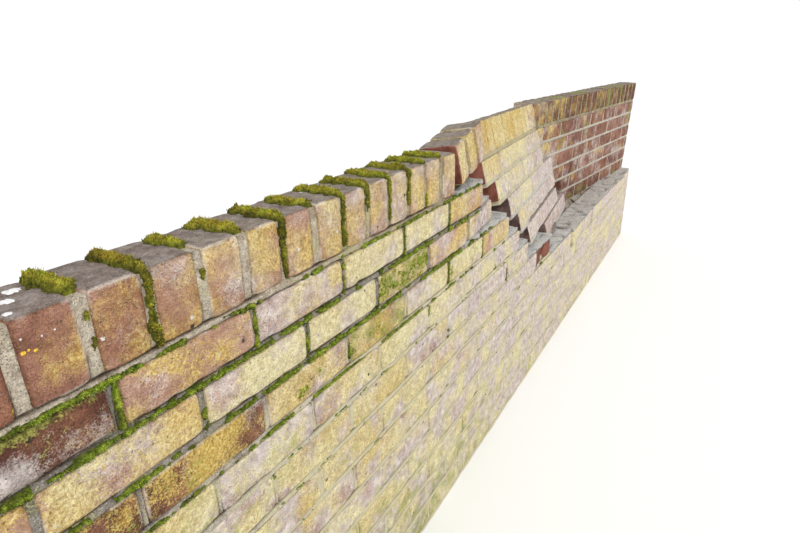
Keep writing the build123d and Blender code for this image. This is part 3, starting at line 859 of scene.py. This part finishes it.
def bare_bed(heap, place, start, end, number, look, rear=GARDEN_FACE - 0.005):
    """A ragged sheet of mortar where a course has gone, with crumbs on it; its splits are sunk and darkened
    as painted shade.
    """
    top = course_foot(number) + BED_JOINT
    along = np.linspace(start - 0.002, end - 0.004, max(4, round((end - start) / 0.007)))
    across = np.linspace(ROAD_FACE + 0.003, rear, 15)
    grid, quads = shell([along, across, top - BED_JOINT * np.array([1.1, 0.5, 0.0])])
    front = grid[:, 1] < ROAD_FACE + 0.004
    grid[:, 1] += front * 0.006 * ramp(noise(grid, 0.024, 51) + 0.5 * noise(grid, 0.008, 52), -0.3, 0.8)
    rise = 0.0014 * noise(grid, 0.030, 53) + 0.0009 * noise(grid, 0.010, 54)
    split = ramp(np.abs(noise(grid, 0.055, 55)), 0.08 if number == LEDGE_COURSE + 1 else 0.03, 0.01)
    grid[:, 2] += (grid[:, 2] > top - 1e-6) * (rise - 0.001 - 0.006 * split)
    # painted shade darkens the splits
    heap.add(placed(grid, place), quads, columns(look[0], look[1], 0.8 * split, 0.0), (0.04, 0.25, 0.03, 0))
    spread = [(start + 0.01, ROAD_FACE + 0.012, top), (end - 0.015, GARDEN_FACE - 0.012, top + 0.002)]
    crumbs(heap, place, 4 + int(30 * (end - start)), *spread, (0.003, 0.009), (*look, 0, 0), number)


BARED = (1.15, 0.80)
LEDGE_LOOK = (0.84, 0.70)
bed_heap = Heap()
bare_bed(bed_heap, UPRIGHT, LOOSE_START, halves(CRACK[12]), 13, BARED)
bare_bed(bed_heap, TURNED_PLACE, halves(CRACK[12]), halves(CRACK[11]), 12, BARED)
bare_bed(bed_heap, UPRIGHT, near_ends[11], halves(CRACK[10]), 11, BARED)
for number in (10, 9, 8):
    bare_bed(bed_heap, UPRIGHT, halves(CRACK[number]), halves(CRACK[number - 1]), number, BARED)
bare_bed(bed_heap, UPRIGHT, halves(CRACK[7]), halves(LEDGE_START), 7, BARED)
for place, start, end in ledge_places:
    bare_bed(bed_heap, place, start, end, LEDGE_COURSE + 1, LEDGE_LOOK, GARDEN_FACE + 0.010)
bed_heap.piece("bare_mortar_beds", MORTAR, ["broken_bed"], "mortar")

# Crushed bed under the tipped foot, up to the underside that it carries
crushed_start, crushed_end = SPLIT_END + PERPEND_JOINT, halves(LEDGE_START) - PERPEND_JOINT
crushed_length, crushed_front = crushed_end - crushed_start, ROAD_FACE + CRUSHED_SETBACK
crushed_outline = [(crushed_start, crushed_front),
                   (crushed_start + 0.22 * crushed_length, crushed_front - 0.009),
                   (crushed_start + 0.44 * crushed_length, crushed_front + 0.005),
                   (crushed_start + 0.73 * crushed_length, crushed_front - 0.004),
                   (crushed_end, crushed_front + 0.008), (crushed_end, GARDEN_FACE - 0.005),
                   (crushed_start, GARDEN_FACE - 0.005)]
crushed = Heap()
points, triangles = ragged_prism(crushed_outline, LEDGE + BED_JOINT - 0.003, LEDGE + BED_JOINT + 0.030,
                                 0.009, 0.005, 3)
# a little painted shade darkens the crushed bed under the tipped foot
crushed.add(points, triangles, (0.5, 0.5, 0.25, 0), (0, 0.1, 0.05, 0))
crushed.piece("crushed_bed", MORTAR, (), "mortar")

# Brick split through and spalled at the foot of the crack
split_middle = (SPLIT_START + SPLIT_END) / 2
half_length = split_middle - SPLIT_START
spalled_face = ROAD_FACE + SPALL_DEPTH
near_half = [(SPLIT_START, ROAD_FACE + 0.15 * SPALL_DEPTH),
             (SPLIT_START + 0.48 * half_length, ROAD_FACE + 0.3 * SPALL_DEPTH),
             (SPLIT_START + 0.73 * half_length, ROAD_FACE + 0.8 * SPALL_DEPTH),
             (split_middle - SPLIT_GAP, spalled_face),
             (split_middle - 0.25 * SPLIT_GAP, spalled_face + 0.3 * BRICK_WIDTH),
             (split_middle - 1.1 * SPLIT_GAP, GARDEN_FACE - 0.2 * BRICK_WIDTH),
             (split_middle - 0.4 * SPLIT_GAP, GARDEN_FACE), (SPLIT_START, GARDEN_FACE)]
far_half = [(split_middle + SPLIT_GAP, spalled_face - 0.2 * SPALL_DEPTH),
            (split_middle + 0.32 * half_length, ROAD_FACE + 0.6 * SPALL_DEPTH),
            (split_middle + 0.65 * half_length, ROAD_FACE + 0.4 * SPALL_DEPTH),
            (SPLIT_END, ROAD_FACE + 0.8 * SPALL_DEPTH), (SPLIT_END, GARDEN_FACE),
            (split_middle + 0.4 * SPLIT_GAP, GARDEN_FACE),
            (split_middle - 0.4 * SPLIT_GAP, GARDEN_FACE - 0.22 * BRICK_WIDTH),
            (split_middle + 0.6 * SPLIT_GAP, ROAD_FACE + 0.4 * BRICK_WIDTH)]
split_halves = Heap()
for seed, outline in ((1, near_half), (2, far_half)):
    points, triangles = ragged_prism(outline, LEDGE + BED_JOINT, LEDGE + COURSE_PITCH, 0.007, 0.0022, seed)
    front = ramp(points[:, 1], ROAD_FACE + 0.4 * BRICK_WIDTH, ROAD_FACE + 0.2 * BRICK_WIDTH)
    look, growth = columns(0.5, 0.15, 0.0, 0.9 * front), columns(0.1, 0.2 * (1 - front), 0.03, 0.3)
    split_halves.add(points, triangles, look, growth)
split_halves.piece("split_brick_halves", BRICK, ["split_brick"], "brick")
split_bed = Heap()
lay_mortar(split_bed, UPRIGHT, SPLIT_START + 0.003, SPLIT_END - 0.003, LEDGE, LEDGE + BED_JOINT + 0.010, [],
           0.0, "near", LEDGE_COURSE + 1, 0.006)
split_bed.piece("split_brick_bed", MORTAR, (), "mortar")

# Stub left in the far part where half a brick has gone
stub_start = halves(FAR[8] - 1) + PERPEND_JOINT
stub_length = HALF_PITCH
stub_face = GARDEN_FACE - STUB_DEPTH
stub_outline = [(stub_start, stub_face + 0.2 * STUB_DEPTH), (stub_start + 0.22 * stub_length, stub_face),
                (stub_start + 0.55 * stub_length, stub_face + 0.3 * STUB_DEPTH),
                (stub_start + 0.8 * stub_length, stub_face - 0.1 * STUB_DEPTH),
                (stub_start + stub_length, stub_face + 0.15 * STUB_DEPTH),
                (stub_start + stub_length, GARDEN_FACE), (stub_start, GARDEN_FACE)]
stub = Heap()
foot = course_foot(8) + BED_JOINT
points, triangles = ragged_prism(stub_outline, foot, foot + BRICK_HEIGHT, 0.008, 0.003, 6)
stub.add(placed(points, FAR_PLACE), triangles, (0.3, 1.0, 0, 0.9))
stub.piece("far_course_08_stub", BRICK, (), "clean_brick")

# Rubble caught behind the ledge: the lumps stand on end in the drawing and run along the wall
RUBBLE_FRAME = Matrix(((0, 0, 1, 0), (1, 0, 0, GARDEN_FACE), (0, 1, 0, LEDGE + BED_JOINT), (0, 0, 0, 1)))
rubble = Heap()
lump_start = halves(FOLD[7]) + RUBBLE_START
for seed, (length, reach, depth) in enumerate(RUBBLE_LUMPS):
    outline = [(0, -depth), (0, -BED_JOINT - 0.2 * reach), (0.35 * reach, -0.35 * reach), (0.7 * reach, 0),
               (2 * reach, 0), (1.9 * reach, -0.45 * depth), (0.6 * reach, -0.9 * depth)]
    points, triangles = ragged_prism(outline, lump_start + 0.002, lump_start + length - 0.002, 0.010, 0.006,
                                     seed)
    tone, cool = ((0.62, 0.5), (0.45, 0.2), (0.7, 0.35))[seed % 3]
    # a little painted shade darkens every lump
    rubble.add(placed(points, RUBBLE_FRAME), triangles, (tone, cool, 0.1, 0), (0.05, 0.1, 0.12, 0))
    lump_start += length
rubble.piece("rubble_lumps", MORTAR, ["rubble"], "mortar")

# Moss and lichen
moss_chance = np.random.default_rng(5)
SHOOT_HEIGHT, SHOOT_RADIUS = 0.0024, 0.0010


def shoots(heap, points, out, height, radius, tip, rust, gloom=0.0, fresh=0.0):
    """Small three-sided moss shoots at the given points."""
    count = len(points)
    side = np.cross(out, moss_chance.normal(size=(count, 3)))
    side /= np.linalg.norm(side, axis=1, keepdims=True)
    other = np.cross(out, side)
    tall = height * moss_chance.uniform(0.6, 1.3, (count, 1))
    wide = radius * moss_chance.uniform(0.7, 1.3, (count, 1))
    lean = moss_chance.normal(0, 0.4, (count, 3)) * tall
    corners = [points + wide * (math.cos(a) * side + math.sin(a) * other) - 0.3 * wide * out
               for a in (0, 2.09, 4.19)]
    shape = np.stack([*corners, points + out * tall + lean], axis=1).reshape(-1, 3)
    base = np.arange(count)[:, None] * 4
    faces = np.concatenate([base + loop for loop in ((0, 1, 3), (1, 2, 3), (2, 0, 3))])
    tone = np.repeat(moss_chance.uniform(0, 1, count), 4)
    # painted shade: the base of each shoot is dark and its tip bright
    bright = np.tile([0.10, 0.10, 0.10, 1.0], count) * np.repeat(np.broadcast_to(tip, count), 4)
    rusty = np.repeat((moss_chance.uniform(0, 1, count) < rust).astype(float), 4)
    gloom = np.repeat(np.broadcast_to(gloom, count), 4)
    heap.add(shape, faces, columns(tone, bright, rusty, gloom), (fresh, 0, 0, 0))


def moss_over(heap, path, length, width, height, seed, cover, rust, gloom, fresh=0.0, spacing=0.0015):
    """Moss along a path: a lumpy skin that thins out to ragged edges, with shoots all over it.

    The path gives a point and the way out of the wall at a distance along it and a distance across it.
    """

    # painted shade: the gloom, broken up in patches
    def shade(point):
        return np.clip(gloom + 0.6 * noise(point, 0.020, seed + 7), 0, 1)

    def swell(s, t):
        point, out = path(s, t)
        wide = width(s) * (1 + 0.32 * noise(point, 0.030, seed) + 0.52 * noise(point, 0.010, seed + 6)) / 2
        wide = np.maximum(wide, 0.0005)
        edge = np.clip(1 - (np.abs(t) / wide) ** 2.4, 0, 1) ** 0.75
        close = np.minimum(s, length - s) + 0.006 * noise(point, 0.012, seed + 1) - 0.006 * (t / wide) ** 2
        ends = ramp(close, -0.004, 0.008)
        limit = 0.75 * (1 - 2 * cover)
        patchy = noise(point, 0.045, seed + 2) + 0.5 * noise(point, 0.013, seed + 3)
        there = ramp(patchy, limit - 0.14, limit + 0.14) if cover < 1 else 1.0
        lumps = 0.70 + 0.42 * noise(point, 0.009, seed + 4) + 0.50 * noise(point, 0.0045, seed + 5)
        return point, out, height(s) * edge * ends * there * np.clip(lumps, 0.05, 1.3)

    widest = 1.4 * width(np.linspace(0, length, 50)).max()
    cell = 0.0010 if length < 0.04 else 0.0018
    rows, across = max(3, round(length / cell)), max(5, round(widest / cell))
    s, t = np.meshgrid(np.linspace(0, length, rows), np.linspace(-widest / 2, widest / 2, across),
                       indexing="ij")
    point, out, rise = swell(s.ravel(), t.ravel())
    index = np.arange(rows * across).reshape(rows, across)
    quads = np.stack([index[:-1, :-1], index[1:, :-1], index[1:, 1:], index[:-1, 1:]], axis=-1).reshape(-1, 4)
    quads = quads[(rise[quads] > 0.0006).any(axis=1)]
    if not len(quads):
        return
    used, faces = np.unique(np.concatenate([quads[:, [0, 1, 2]], quads[:, [0, 2, 3]]]), return_inverse=True)
    # the rim and both ends go down into the joint, so that no edge hangs over it
    inside = (rise > 0.0006) & (s.ravel() > 0) & (s.ravel() < length)
    skin = (point + out * np.where(inside, rise - 0.0010, -0.0060)[:, None])[used]
    depth = np.clip(rise[used] / max(height(s.ravel()).max(), 1e-6), 0, 1)
    # painted shade: the skin is darker the lower it lies in the cushion
    tone, tip = 0.5 + 0.5 * noise(skin, 0.004, seed), 0.12 + 0.42 * ramp(depth, 0.2, 0.95)
    look = columns(tone, tip, rust * 0.8, shade(point[used]))
    heap.add(skin, faces.reshape(-1, 3), look, (fresh, 0, 0, 0))
    count = int(length * widest / spacing**2)
    s, t = moss_chance.uniform(0, length, count), moss_chance.uniform(-widest / 2, widest / 2, count)
    point, out, rise = swell(s, t)
    grows = rise > 0.0009
    spot = (point + out * (rise - 0.0012)[:, None])[grows]
    share = np.clip(rise[grows] / height(s[grows]), 0, 1)
    # painted shade: shoots that stand low in the cushion are darker
    tip = 0.35 + ramp(share, 0.1, 0.9)
    shoots(heap, spot, out[grows], SHOOT_HEIGHT, SHOOT_RADIUS, tip, rust, shade(point[grows]), fresh)


def steady(value):
    """A width or height that stays the same along a path."""
    return lambda s: value + 0.0 * s


def coping_joint(k):
    """Middle of the coping joint after a brick."""
    return NEAR_END + (k + 1) * COPING_PITCH - COPING_JOINT / 2


def over_coping(x, rear):
    """Path from the rear of the coping's top over its rounded road arris and down the face."""
    bend = 0.009
    flat = rear - (ROAD_FACE + bend)
    arc = bend * math.pi / 2

    def path(s, t):
        angle = np.clip((s - flat) / bend, 0, math.pi / 2)
        down = np.clip(s - flat - arc, 0, None)
        y = rear - np.minimum(s, flat) - bend * np.sin(angle)
        z = WALL_TOP - bend * (1 - np.cos(angle)) - down
        return columns(x + t, y, z), columns(0.0 * s, -np.sin(angle), np.cos(angle))

    return path, flat + arc


def level_joint(start, z):
    """Path along a bed joint on the road face."""
    return lambda s, t: (columns(start + s, ROAD_FACE + 0.0012, z + t), columns(0.0 * s, -1.0, 0.12))


def upright_joint(x, foot):
    """Path up an upright joint on the road face."""
    return lambda s, t: (columns(x + t, ROAD_FACE + 0.0012, foot + s), columns(0.0 * s, -1.0, 0.12))


# Moss on the coping, by the brick before the joint: where it ends toward the road on top, how far it reaches
# down the joint, its width and height on top, how rusty it is and how much painted shade darkens it
COPING_MOSS = {2: (-0.030, 0.0, 0.034, 0.010, 0.10, 0.0), 4: (-0.051, 0.6, 0.030, 0.009, 0.12, 0.2),
               6: (-0.034, 0.0, 0.030, 0.012, 0.16, 0.0), 7: (-0.051, 1.0, 0.028, 0.010, 0.30, 0.45),
               8: (-0.022, 0.0, 0.030, 0.008, 0.12, 0.0), 9: (-0.040, 0.0, 0.040, 0.010, 0.40, 0.1),
               10: (-0.051, 0.95, 0.038, 0.009, 0.14, 0.5), 11: (-0.044, 0.0, 0.036, 0.008, 0.18, 0.3),
               12: (-0.051, 0.9, 0.038, 0.009, 0.18, 0.4), 13: (-0.051, 0.45, 0.036, 0.009, 0.14, 0.3),
               14: (-0.051, 0.85, 0.040, 0.009, 0.14, 0.2), 15: (-0.051, 0.7, 0.040, 0.009, 0.18, 0.3),
               16: (-0.046, 0.0, 0.048, 0.009, 0.12, 0.1), 17: (-0.044, 0.0, 0.048, 0.009, 0.12, 0.1)}
coping_moss = Heap()
for k, (front, reach, width, height, rust, gloom) in COPING_MOSS.items():
    path, to_face = over_coping(coping_joint(k), GARDEN_FACE - 0.002)
    on_top = GARDEN_FACE - 0.002 - front if front > ROAD_FACE + 0.005 else to_face
    length = on_top + reach * (BRICK_WIDTH - 0.009)
    wide = lambda s, w=width, turn=to_face: w + (0.0145 - w) * ramp(s, turn - 0.036, turn - 0.004)
    tall = lambda s, h=height, turn=to_face: h + (0.0040 - h) * ramp(s, turn - 0.024, turn + 0.004)
    moss_over(coping_moss, path, length, wide, tall, 300 + 10 * k, 1.0, rust, gloom)
# Fruiting stalks above the rusty cushions
for k, (front, _, width, height, rust, _) in COPING_MOSS.items():
    x, count = coping_joint(k), int(900 * rust)
    spot = columns(moss_chance.uniform(x - 0.3 * width, x + 0.3 * width, count),
                   moss_chance.uniform(max(front, -0.03) + 0.012, GARDEN_FACE - 0.008, count),
                   np.full(count, WALL_TOP + 0.55 * height))
    shoots(coping_moss, spot, np.tile([0.0, 0.0, 1.0], (count, 1)), 0.0042, 0.0004, 1.0, 1.0)
# Small growth low in the joints that are otherwise bare
for k, foot, length in ((6, 0.030, 0.022), (8, 0.060, 0.016), (6, 0.070, 0.014), (16, 0.0, 0.035)):
    path = upright_joint(coping_joint(k) + 0.003, COPING_FOOT + foot)
    moss_over(coping_moss, path, length, steady(0.010), steady(0.003), 470 + k, 1.0, 0.0, 0.4)
coping_moss.piece("moss_on_coping", MOSS, smooth=False)

# Moss in the bed under each course: how much of it is filled, its width and height, and how much painted
# shade darkens it
BED_MOSS = {13: (0.54, 0.008, 0.0032, 0.1), 12: (0.64, 0.009, 0.0042, 0.1), 11: (0.70, 0.010, 0.0042, 0.1),
            10: (0.44, 0.007, 0.0032, 0.2), 9: (0.18, 0.005, 0.0022, 0.3), 8: (0.12, 0.005, 0.002, 0.3),
            7: (0.10, 0.005, 0.002, 0.3), 6: (0.10, 0.005, 0.002, 0.3)}
# Share of the upright joints of each course that moss fills
UPRIGHT_MOSS = {12: 0.74, 11: 0.60, 10: 0.46, 9: 0.28, 8: 0.15}
joint_moss = Heap()
for number, (cover, width, height, gloom) in BED_MOSS.items():
    end = halves(CRACK.get(min(number, COURSES), LEDGE_START)) - 0.03
    lift = 0.0050 if number <= COURSES else 0.0025
    path = level_joint(NEAR_END + 0.01, course_foot(number) + lift)
    pile = 0.0012 if number >= WEATHERED_COURSE else 0.0022
    moss_over(joint_moss, path, end - NEAR_END - 0.01, steady(width), steady(height), 600 + 10 * number,
              cover, 0.02, gloom, 0.75, pile)
for number, cover in UPRIGHT_MOSS.items():
    for x in perpends(NEAR_END, near_ends[number], number):
        path = upright_joint(x, course_foot(number) + 0.006)
        moss_over(joint_moss, path, BRICK_HEIGHT + 0.006, steady(0.0085), steady(0.0028), 800 + number, cover,
                  0.02, 0.2, 0.6)
joint_moss.piece("moss_in_joints", MOSS, smooth=False)

# Thin moss on the face of a few bricks, by course and place from the near end
FACE_MOSS = {(11, 5): 0.80, (10, 5): 0.66, (10, 3): 0.16, (10, 4): 0.26, (10, 7): 0.22}
face_moss = Heap()
for (number, index), cover in FACE_MOSS.items():
    start = NEAR_END + (2 * index - (1 if number % 2 == 0 else 0)) * HALF_PITCH
    path = level_joint(start, course_foot(number) + BED_JOINT + BRICK_HEIGHT / 2)
    moss_over(face_moss, path, BRICK_LENGTH, steady(0.060), steady(0.0027), 900 + 10 * index, cover,
              0.03, 0.1, 0.6, 0.0021)
face_moss.piece("moss_on_bricks", MOSS, smooth=False)


def crust(heap, middle, out, radius, orange, seed):
    """A flat crust of lichen with a lobed edge."""
    chance = np.random.default_rng(seed)
    out = Vector(out).normalized()
    side = out.orthogonal().normalized()
    other = out.cross(side)
    count = 18
    lobes = (radius * chance.uniform(0.7, 1.1, count)).tolist()
    rim = [Vector(middle) + r * (math.cos(a) * side + math.sin(a) * other)
           for r, a in zip(lobes, np.linspace(0, 2 * math.pi, count, endpoint=False))]
    inner = [Vector(middle) + 0.8 * (p - Vector(middle)) + 0.0009 * out for p in rim]
    points = np.array([*rim, *inner, Vector(middle) + 0.0011 * out])
    here = np.arange(count)
    after = np.roll(here, -1)
    faces = np.concatenate([np.stack([here, after, after + count], axis=1),
                            np.stack([here, after + count, here + count], axis=1),
                            np.stack([here + count, after + count, np.full(count, 2 * count)], axis=1)])
    heap.add(points, faces, (orange, 0, 0, 0))


lichen = Heap()
first_whole = NEAR_END + 6 * COPING_PITCH
for k, (x, y, radius) in enumerate(((0.042, 0.021, 0.011), (0.025, -0.003, 0.009), (0.010, -0.034, 0.005))):
    crust(lichen, (first_whole + x, y, WALL_TOP - 0.0004), (0, 0, 1), radius, 0.0, k)
for k, (x, z, radius) in enumerate(((0.007, 0.065, 0.0028), (0.012, 0.066, 0.0018), (0.018, 0.063, 0.0024))):
    crust(lichen, (first_whole + x, ROAD_FACE + 0.0004, COPING_FOOT + z), (0, -1, 0), radius, 1.0, 10 + k)
for k, (x, z, radius) in enumerate(((0.008, 0.080, 0.0014), (0.027, 0.075, 0.0012), (0.040, 0.076, 0.0013))):
    crust(lichen, (first_whole + x, ROAD_FACE + 0.0004, COPING_FOOT + z), (0, -1, 0), radius, 0.0, 20 + k)
lichen.piece("lichen_crusts", LICHEN)

# Floor that fades out, and light
bpy.ops.mesh.primitive_circle_add(vertices=96, radius=14, fill_type="NGON", location=(1.0, 0, 0))
floor = bpy.context.object
floor.name = "floor"
ground = bpy.data.materials.new("floor")
ground.use_nodes = True
tree = ground.node_tree
shader = tree.nodes["Principled BSDF"]
shader.inputs["Base Color"].default_value = (0.80, 0.80, 0.79, 1)
shader.inputs["Roughness"].default_value = 0.9
coords = new_node(tree, "ShaderNodeTexCoord", {})
distance = new_node(tree, "ShaderNodeVectorMath", {0: coords.outputs["Object"]}, operation="LENGTH")
fading = {"Value": distance.outputs["Value"], "From Min": 4.5, "From Max": 13.0}
fade = new_node(tree, "ShaderNodeMapRange", fading)
clear = new_node(tree, "ShaderNodeBsdfTransparent", {})
shaders = {1: shader.outputs[0], 2: clear.outputs[0]}
blend = new_node(tree, "ShaderNodeMixShader", {"Fac": fade.outputs["Result"], **shaders})
tree.links.new(blend.outputs[0], tree.nodes["Material Output"].inputs["Surface"])
floor.data.materials.append(ground)

world = bpy.data.worlds.new("studio")
bpy.context.scene.world = world
world.use_nodes = True
tree = world.node_tree
sky = tree.nodes["Background"]
sky.inputs["Color"].default_value = (0.93, 0.96, 1.0, 1)
sky.inputs["Strength"].default_value = 0.90
white = new_node(tree, "ShaderNodeBackground", {"Color": (1, 1, 1, 1)})
seen = new_node(tree, "ShaderNodeLightPath", {})
# rays that see the sky directly or by reflection see white
seen_as_white = seen.outputs["Is Camera Ray"]
for ray in ("Is Glossy Ray", "Is Transmission Ray"):
    either = {0: seen_as_white, 1: seen.outputs[ray]}
    seen_as_white = new_node(tree, "ShaderNodeMath", either, operation="MAXIMUM").outputs[0]
backgrounds = {1: sky.outputs[0], 2: white.outputs[0]}
pick = new_node(tree, "ShaderNodeMixShader", {"Fac": seen_as_white, **backgrounds})
tree.links.new(pick.outputs[0], tree.nodes["World Output"].inputs["Surface"])

sun = bpy.data.lights.new("soft_key", "SUN")
sun.energy = 2.05
sun.angle = math.radians(35)
sun.color = (1.0, 0.97, 0.92)
key = bpy.data.objects.new("soft_key", sun)
key.rotation_euler = Vector((0.35, 0.75, -1.0)).to_track_quat("-Z", "Y").to_euler()
bpy.context.scene.collection.objects.link(key)

scene = bpy.context.scene
scene.view_settings.view_transform = "Standard"

# Camera where the photo was taken from, fitted to the corners of the coping
EYE = Vector((-1.9165, -0.6087, 1.2709))
YAW, PITCH, ROLL = (math.radians(a) for a in (30.543, 21.463, -1.0847))
forward = Vector((math.cos(YAW) * math.cos(PITCH), math.sin(YAW) * math.cos(PITCH), -math.sin(PITCH)))
level = Vector((math.sin(YAW), -math.cos(YAW), 0))
above = level.cross(forward)
right = math.cos(ROLL) * level + math.sin(ROLL) * above
up = -math.sin(ROLL) * level + math.cos(ROLL) * above
lens = bpy.data.cameras.new("camera")
lens.lens = 24.971
lens.sensor_width = 36
lens.clip_start = 0.01
camera = bpy.data.objects.new("camera", lens)
camera.matrix_world = Matrix((right, up, -forward)).transposed().to_4x4()
camera.location = EYE
scene.collection.objects.link(camera)
scene.camera = camera
